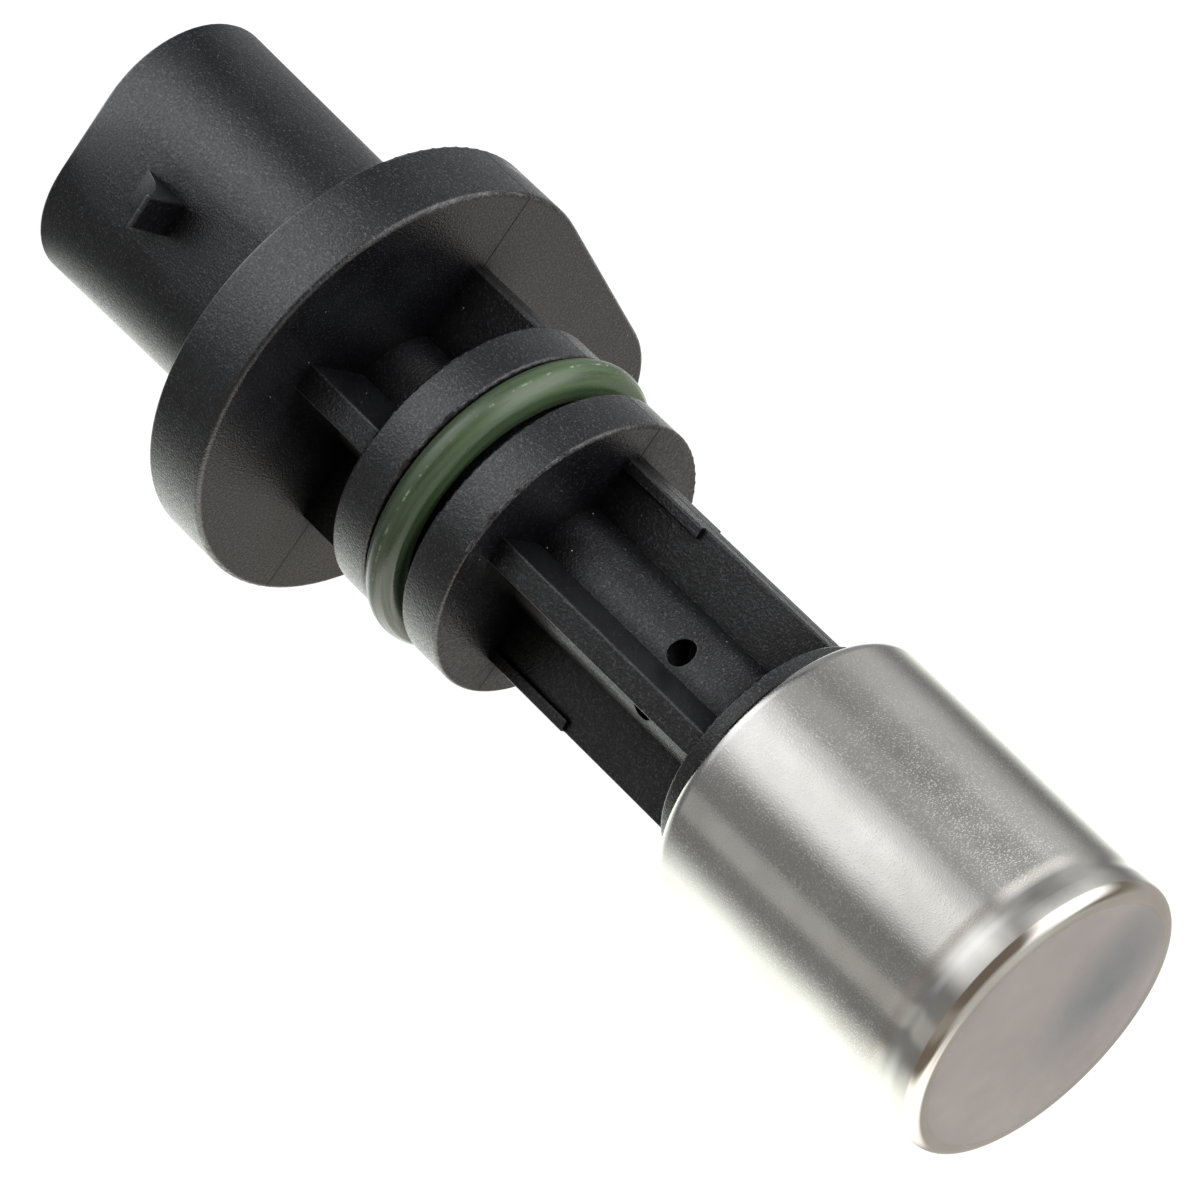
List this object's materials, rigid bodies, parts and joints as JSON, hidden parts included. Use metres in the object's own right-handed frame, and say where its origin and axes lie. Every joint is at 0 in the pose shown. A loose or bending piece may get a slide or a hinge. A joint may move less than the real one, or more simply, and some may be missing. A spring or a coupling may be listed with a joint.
{
  "type": "crankshaft position sensor",
  "caption": "Crankshaft position sensor: plastic body with a bolting ear, oval plug socket with latch tooth, ring-sealed collars and finned stem, ending in a drawn metal cap.",
  "frame": {"origin": "on the sensor axis, in the plane of the flange's seating face", "axes": "+Z along the sensor axis from the plug socket towards the sensing cap, +Y away from the bolting ear on the latch tooth's side, X across the flange"},
  "size_m": [0.03, 0.0392, 0.0854],
  "materials": {
    "black_plastic": "fine satin grain",
    "plated_cap": "satin plated",
    "green_rubber": "satin, lightly oiled",
    "bush_steel": "zinc plated",
    "terminal_metal": "tin plated",
    "carrier_plastic": "moulded",
    "seal_rubber": "moulded",
    "bobbin_plastic": "moulded",
    "copper_wire": "enamelled",
    "tape": "smooth film",
    "magnet_metal": "ground",
    "soft_iron": "turned",
    "resin": "cast",
    "solder": "bright"
  },
  "bodies": {
    "root": {"moulded_body": "black_plastic", "sensing_cap": "plated_cap", "sealing_ring": "green_rubber", "compression_bush": "bush_steel", "terminal_left": "terminal_metal", "terminal_right": "terminal_metal", "terminal_carrier": "carrier_plastic", "cap_seal": "seal_rubber", "coil_bobbin": "bobbin_plastic", "coil_winding": "copper_wire", "winding_tape": "tape", "magnet": "magnet_metal", "pole_piece": "soft_iron", "back_plate": "soft_iron", "casting_resin": "resin", "bobbin_pin_left": "terminal_metal", "bobbin_pin_right": "terminal_metal", "coil_lead_left": "copper_wire", "coil_lead_right": "copper_wire", "solder_joint_left": "solder", "solder_joint_right": "solder"}
  },
  "joints": []
}
